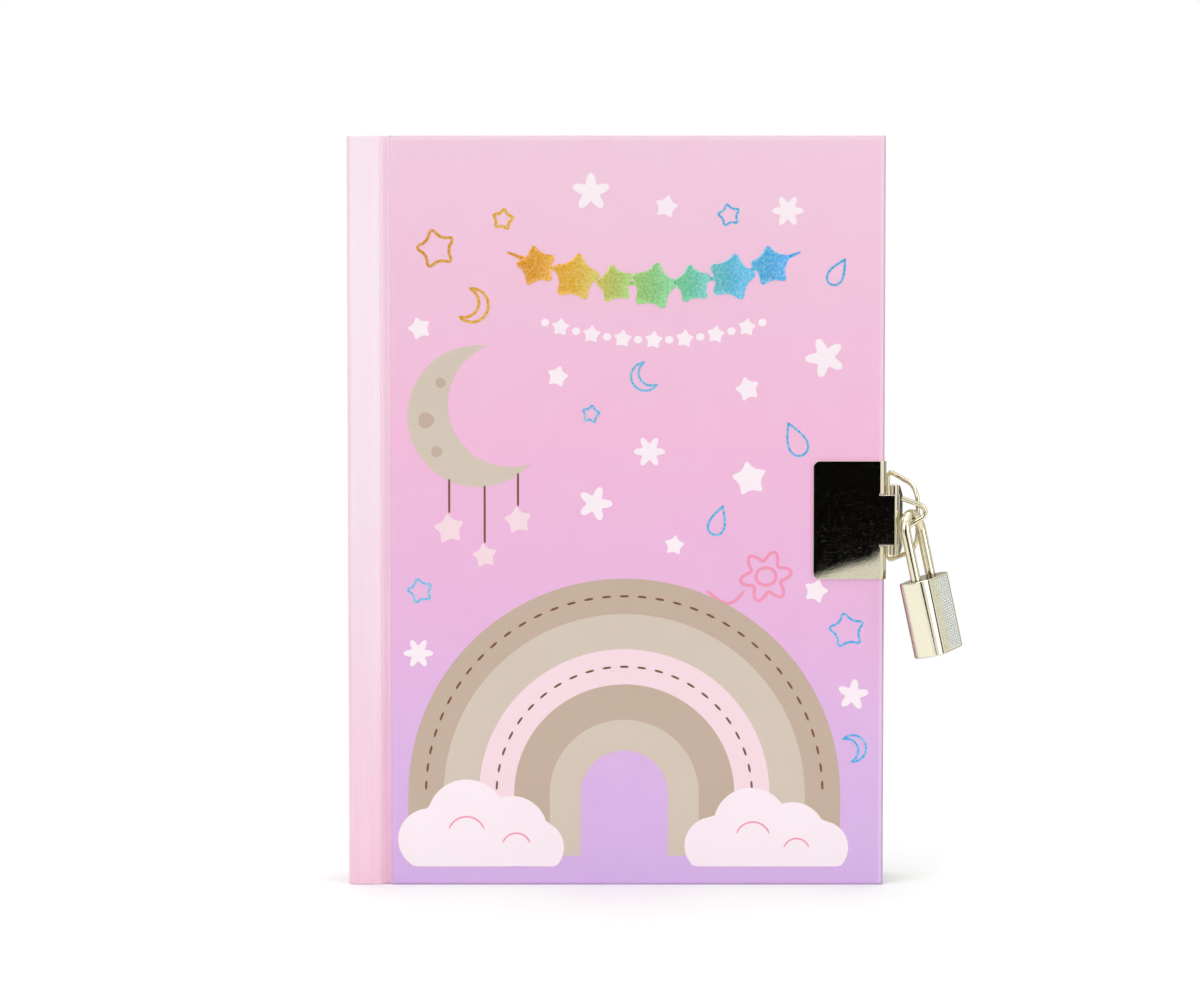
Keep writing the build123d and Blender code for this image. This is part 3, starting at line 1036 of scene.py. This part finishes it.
def grown(loop, by):
    """Outline moved outward along its normals, inward where the number is negative."""
    area = sum(ax * bz - bx * az for (ax, az), (bx, bz) in zip(loop, loop[1:] + loop[:1]))
    way = 1 if area > 0 else -1
    moved = []
    for i, (x, z) in enumerate(loop):
        ax, az = loop[i - 1]
        bx, bz = loop[(i + 1) % len(loop)]
        tx, tz = bx - ax, bz - az
        size = hypot(tx, tz) or 1.0
        moved.append((x + way * by * tz / size, z - way * by * tx / size))
    return moved


def on_cover(loop, height):
    return [(x, Y_FACE - height, z) for x, z in loop]


def line_section(height):
    """Section of a raised line: place across it, from 1 to -1, and height."""
    return [
        (1, -SINK), (1, height / 2), (0.5, height), (-0.5, height), (-1, height / 2), (-1, -SINK),
    ]


def add_solid(bm, loop, height, rim):
    """Raised area with a narrow sloped rim."""
    loft(bm, [
        on_cover(loop, -SINK), on_cover(loop, height * 0.4), on_cover(grown(loop, -rim), height),
    ])


def add_outline(bm, loop, height, width):
    """Raised line along a closed outline."""
    rings = []
    for side, h in line_section(height):
        rings.append(add_ring(bm, on_cover(grown(loop, side * width / 2), h)))
    for a, b in zip(rings, rings[1:] + rings[:1]):
        bridge(bm, a, b)


def add_stroke(bm, points, height, width):
    """Raised line along an open line, narrower at both ends."""
    rows = []
    last = len(points) - 1
    for i, (x, z) in enumerate(points):
        ax, az = points[max(i - 1, 0)]
        bx, bz = points[min(i + 1, last)]
        size = hypot(bx - ax, bz - az)
        nx, nz = -(bz - az) / size, (bx - ax) / size
        half = width / 2 * (0.5 if i in (0, last) else 1.0)
        row = []
        for side, h in line_section(height):
            row.append((x + nx * half * side, Y_FACE - h, z + nz * half * side))
        rows.append(row)
    loft(bm, rows)


def inlay(name, mat, solids=(), outlines=(), strokes=(), height=PRINT_H, rim=RIM, width=LINE_W):
    """One piece of the picture, made of areas, closed lines and open lines."""
    bm = bmesh.new()
    for loop in solids:
        add_solid(bm, loop, height, rim)
    for loop in outlines:
        add_outline(bm, loop, height, width)
    for line in strokes:
        add_stroke(bm, line, height, width)
    piece = new_piece(name, bm, mat, "front_cover", smooth=25)


beige = flat_print("ink_beige", "D6C7B8", "BFAB97")
taupe = flat_print("ink_taupe", "C6AF9D", "AE9580")
brown = flat_print("ink_brown", "7A4A25", "5C3417")
blush = flat_print("ink_blush", "F8DCE4", "EFC3D2")
cloud_white = flat_print("ink_cloud", "FCEFF5", "F1D6E5")
coral = flat_print("ink_coral", "F296B6", "EB85A8")
rainbow_foil = foil("rainbow_foil", GARLAND_STOPS, x0=-24, x1=42)
blue_foil = foil("blue_foil", [(0.0, "6FC3EE"), (1.0, "43AEEA")], x0=-20, x1=60)
gold_foil = foil("gold_foil", [(0.0, "D98E14"), (1.0, "F2BC3C")], x0=-50, x1=-20)

# The rainbow: its middle, its foot, its bands from the outside in, and its clouds as circles
RAINBOW_X, RAINBOW_Z, RAINBOW_FOOT = 2.0, 22.0, 7.0
BAND_EDGES = (52.0, 43.5, 35.0, 26.5, 18.0, 10.5)
BAND_INKS = (taupe, beige, blush, taupe, beige)
STITCHED = (47.75, 30.75)
STITCH_PITCH = 4.2
CLOUD_FOOT = 4.4
LEFT_CLOUD = [(-12, 1, 7.5), (-3, 6, 9.5), (8, 3, 8.5), (14, -1, 6.5), (-2, -2, 10)]
RIGHT_CLOUD = [(-13, 0, 7), (-4, 5, 9), (6, 2.5, 8), (13, -0.5, 6.5), (0, -2, 9)]
CURLS = ((-36.0, 12.0, 4.5), (-24.0, 9.0, 3.5), (33.0, 11.0, 4.2), (43.5, 8.0, 3.2))

# The moon's spots, and the stars hung from it: X, the string's top, the star's middle and radius
MOON_SPOTS = ((-45.5, 112.0, 2.0), (-43.0, 104.5, 1.4), (-42.0, 121.0, 1.3))
HUNG_STARS = ((-40.0, 98.0, 86.0, 4.2), (-31.5, 96.4, 79.5, 3.4), (-23.5, 99.4, 88.0, 3.8))

# The garland and the row of beads under it sag about one middle; a row has a start and a length
SAG = 0.0062
SAG_X = 9.0
GARLAND_Z = 144.6
CORD_ROW = -26.0, 70.0
CORD_STEPS = 24
STAR_ROW = -19.0, 56.0
GARLAND_R = (5.6, 6.6, 5.4, 6.6, 5.4, 6.6, 5.6)
BEADS_Z = 131.2
BEAD_ROW = -17.0, 52.0
BEADS = 15

BLUE_OUTLINES = [
    star(27.0, 161.0, 3.0, 12.0), crescent(7.0, 122.5, 3.4, 30.0), star(-6.0, 113.5, 2.4, -10.0),
    drop(43.0, 107.5, 4.2, 24.0), star(55.5, 61.5, 4.8, 10.0), drop(24.5, 88.0, 3.6, -18.0),
    crescent(57.0, 33.0, 3.2, 200.0), star(-47.0, 71.0, 3.4, 14.0), drop(53.0, 147.5, 3.4, -30.0),
]
GOLD_OUTLINES = [
    star(-43.0, 153.0, 5.2, 14.0), crescent(-34.5, 139.5, 4.0, 160.0),
    star(-27.0, 160.0, 2.8, -8.0),
]
WHITE_MOTIFS = [
    lobed(-6.0, 166.5, 4.6, 5, 0.26, 18), star(12.0, 163.0, 3.2, -12),
    lobed(41.0, 162.0, 3.8, 6, 0.24), lobed(50.0, 127.0, 4.8, 5, 0.26, 40),
    star(31.5, 119.5, 3.4, 16), star(-14.0, 122.5, 3.0, -14), lobed(8.0, 104.5, 3.8, 6, 0.24),
    star(32.0, 98.0, 4.8, 10), lobed(-5.0, 92.0, 4.2, 5, 0.26), star(-47.0, 134.0, 3.2, 18),
    lobed(-47.5, 56.0, 3.6, 6, 0.24), star(14.0, 82.0, 2.8, -8), star(48.0, 71.0, 3.4, -16),
    lobed(57.0, 46.0, 3.8, 5, 0.26, 10),
]
FLOWER_X, FLOWER_Z = 36.0, 74.5


def sagging(z, row, k, last):
    """Place k of a row that hangs with its lowest place at z."""
    x = row[0] + row[1] * k / last
    return x, z + SAG * (x - SAG_X) ** 2


def rainbow():
    """Rainbow between two clouds, with stitches along two of its bands."""
    middle = RAINBOW_X, RAINBOW_Z
    bands = zip(BAND_EDGES, BAND_EDGES[1:], BAND_INKS)
    for number, (r1, r0, ink) in enumerate(bands, start=1):
        band = arch(*middle, r0, r1, RAINBOW_FOOT)
        inlay(f"rainbow_band_{number}", ink, [band], height=PRINT_H + PRINT_STEP * number)
    stitches = []
    for r in STITCHED:
        count = int(pi * r / STITCH_PITCH)
        for k in range(count):
            a0, a1 = pi * (k + 0.25) / count, pi * (k + 0.75) / count
            stitches.append(arc_line(*middle, r, a0, a1, steps=4))
    inlay("rainbow_stitches", brown, strokes=stitches, height=PRINT_H + 0.05)
    left = puff(-33.0, 10.0, LEFT_CLOUD, CLOUD_FOOT)
    right = puff(36.5, 9.5, RIGHT_CLOUD, CLOUD_FOOT)
    inlay("clouds", cloud_white, [left, right], height=PRINT_H + 0.07)
    curls = [arc_line(x, z, r, radians(20), radians(160), steps=12) for x, z, r in CURLS]
    inlay("cloud_curls", coral, strokes=curls, height=PRINT_H + 0.1)


def moon_and_stars():
    """Moon with spots, and stars that hang from it on strings."""
    inlay("moon", beige, [crescent(-33.0, 113.0, 17.0, 20.0)])
    spots = [lobed(x, z, r, 3, 0.05) for x, z, r in MOON_SPOTS]
    inlay("moon_spots", taupe, spots, height=PRINT_H + 0.02)
    strings, hung = [], []
    for x, z0, z1, r in HUNG_STARS:
        foot = z1 + r * 0.9
        strings.append([(x, z0), (x, z0 - 0.4), (x, foot + 0.4), (x, foot)])
        hung.append(star(x, z1, r, 8.0))
    inlay("moon_strings", brown, strokes=strings, height=PRINT_H + 0.02, width=0.5)
    inlay("hung_stars", blush, hung)


def foil_work():
    """Garland of raised stars on a cord, and small foil outlines about the cover."""
    cord = [sagging(GARLAND_Z, CORD_ROW, k, CORD_STEPS) for k in range(CORD_STEPS + 1)]
    stars = []
    for k, r in enumerate(GARLAND_R):
        x, z = sagging(GARLAND_Z, STAR_ROW, k, len(GARLAND_R) - 1)
        stars.append(star(x, z - 0.6, r, 10.0 * (-1) ** k, waist=0.56))
    inlay("garland_cord", rainbow_foil, strokes=[cord], height=0.12, width=0.9)
    inlay("garland_stars", rainbow_foil, stars, height=FOIL_H, rim=0.3)
    inlay("blue_outlines", blue_foil, outlines=BLUE_OUTLINES, height=0.08)
    inlay("gold_outlines", gold_foil, outlines=GOLD_OUTLINES, height=0.1, width=0.7)


def white_motifs():
    """Pale flowers and stars about the cover, and a row of stars and beads."""
    beads = []
    for k in range(BEADS):
        x, z = sagging(BEADS_Z, BEAD_ROW, k, BEADS - 1)
        beads.append(star(x, z, 2.5, 6.0 * (-1) ** k) if k % 2 else lobed(x, z, 1.0, 2, 0.04))
    inlay("white_motifs", cloud_white, WHITE_MOTIFS + beads, height=PRINT_H + 0.01)


def line_flower():
    """Coral flower drawn in one weight of line, with a curled stem."""
    x, z = FLOWER_X, FLOWER_Z
    loops = [lobed(x, z, 6.2, 6, 0.2, 10), lobed(x, z, 2.4, 2, 0.06)]
    stem = []
    for k in range(11):
        sway = 4.0 * sin(pi * k / 10) * (1 - k / 20)
        stem.append((x - 5.2 - 9.0 * k / 10, z - 3.4 - sway))
    inlay("line_flower", coral, outlines=loops, strokes=[stem], width=0.8)


rainbow()
moon_and_stars()
foil_work()
white_motifs()
line_flower()


# Stage, light and camera

PX = 0.2398             # millimetres in a pixel of the 1200 by 1000 frame, at the front cover
FRAME_W = 1200
AIM = Vector((-3.84, Y_FACE, 92.9))
DISTANCE = 800.0
ELEVATION = 3.0         # degrees
SENSOR = 36.0
FLOOR = [(-3000, -560), (3000, -560), (3000, 5000), (-3000, 5000)]
FLOOR_TONES = (0.90, 0.925, 0.905, 1), (0.915, 0.94, 0.92, 1)
FADE_FROM, FADE_TO = 120, 320       # the floor turns plain white over these distances
CARD_TONES = (0.002, 0.002, 0.002, 1), (0.005, 0.005, 0.005, 1)
CARD_GLOW = 0.85
AMBIENT = 0.50          # strength of the world's light on matt surfaces
# Level card that the front plate mirrors in its lower part
BRIGHT_CARD = [
    (105, -945), (111, -1001), (133, -1074), (155, -1137), (164, -1205), (600, -1205), (600, -945),
]


def make_floor():
    """White floor with the part's shadow near it; far from the part the camera sees plain white."""
    bm = bmesh.new()
    bm.faces.new(add_ring(bm, [(x, y, 0) for x, y in FLOOR]))
    s = Shader("floor", Roughness=0.6)
    s.set("Base Color", s.mix(s.speckle(300.0, 2.0), *FLOOR_TONES))
    reach = s.add("ShaderNodeVectorMath", {0: s.where}, operation="LENGTH").outputs["Value"]
    fade = {0: reach, 1: FADE_FROM * MM, 2: FADE_TO * MM}
    far = s.add("ShaderNodeMapRange", fade, interpolation_type="SMOOTHSTEP").outputs[0]
    seen = s.add("ShaderNodeLightPath").outputs["Is Camera Ray"]
    glow = s.add("ShaderNodeEmission").outputs[0]
    factor = s.math("MULTIPLY", far, seen)
    both = s.add("ShaderNodeMixShader", {0: factor, 1: s.bsdf.outputs[0], 2: glow})
    s.tree.links.new(both.outputs[0], s.tree.nodes["Material Output"].inputs[0])
    new_piece("floor", bm, s.mat, None)


def make_card(name, corners, glow=0.0):
    """Card seen only in reflections: a dark or a bright part of the studio."""
    bm = bmesh.new()
    bm.faces.new(add_ring(bm, corners))
    s = Shader(name, Roughness=0.9, Specular_IOR_Level=0.0, Emission_Strength=glow)
    s.set("Base Color", s.mix(s.noise(400.0), *CARD_TONES))
    card = new_piece(name, bm, s.mat, None)
    card.visible_camera = False
    card.visible_diffuse = False
    card.visible_shadow = False


def upright(a, b, low, top):
    """Corners of a card on edge between two places."""
    return [(*a, low), (*b, low), (*b, top), (*a, top)]


def area_light(name, place, aim, size, power):
    """Rectangular light; places and sizes are in metres, the power in watts."""
    data = bpy.data.lights.new(name, "AREA")
    data.shape = "RECTANGLE"
    data.size, data.size_y = size
    data.energy = power
    lamp = bpy.data.objects.new(name, data)
    lamp.location = place
    lamp.rotation_euler = (Vector(aim) - Vector(place)).to_track_quat("-Z", "Y").to_euler()
    bpy.context.scene.collection.objects.link(lamp)


def make_world():
    """Soft light from all sides, seen as plain white by the camera and in reflections."""
    world = bpy.data.worlds.new("studio")
    world.use_nodes = True
    bpy.context.scene.world = world
    tree = world.node_tree
    soft = tree.nodes["Background"]
    white = tree.nodes.new("ShaderNodeBackground")
    for background, strength in ((soft, AMBIENT), (white, 1.0)):
        background.inputs["Color"].default_value = (1, 1, 1, 1)
        background.inputs["Strength"].default_value = strength
    path = tree.nodes.new("ShaderNodeLightPath")
    seen = path.outputs["Is Camera Ray"]
    for ray in ("Is Glossy Ray", "Is Transmission Ray"):
        either = tree.nodes.new("ShaderNodeMath")
        either.operation = "MAXIMUM"
        tree.links.new(seen, either.inputs[0])
        tree.links.new(path.outputs[ray], either.inputs[1])
        seen = either.outputs[0]
    mix = tree.nodes.new("ShaderNodeMixShader")
    tree.links.new(seen, mix.inputs[0])
    tree.links.new(soft.outputs[0], mix.inputs[1])
    tree.links.new(white.outputs[0], mix.inputs[2])
    tree.links.new(mix.outputs[0], tree.nodes["World Output"].inputs[0])


def make_camera():
    """Camera at the photo's angle, a little above the book's middle and pitched down to it."""
    data = bpy.data.cameras.new("camera")
    data.sensor_fit = "HORIZONTAL"
    data.sensor_width = SENSOR
    data.lens = SENSOR * DISTANCE / (FRAME_W * PX)
    camera = bpy.data.objects.new("camera", data)
    e = radians(ELEVATION)
    camera.location = (AIM + Vector((0, -cos(e), sin(e))) * DISTANCE) * MM
    camera.rotation_euler = (pi / 2 - e, 0, 0)
    bpy.context.scene.collection.objects.link(camera)
    bpy.context.scene.camera = camera


make_floor()
make_card("flag_front", upright((-900, -1500), (330, -1500), low=-1200, top=1500))
make_card("flag_left", upright((-1500, -900), (-1350, -1150), low=-300, top=900))
make_card("flag_right", upright((1300, -300), (1300, 20), low=-300, top=900))
make_card("bright_card", [(x, y, 0) for x, y in BRIGHT_CARD], CARD_GLOW)
make_world()
area_light("key", (-0.7, -0.9, 0.9), aim=(0, 0, 0.09), size=(0.8, 0.8), power=4.6)
area_light("fill", (0.9, -0.7, 0.5), aim=(0, 0, 0.09), size=(0.7, 0.9), power=2.3)
area_light("top", (0, 0.1, 1.3), aim=(0, 0, 0), size=(1.2, 1.2), power=12)
make_camera()
bpy.context.scene.view_settings.view_transform = "Standard"
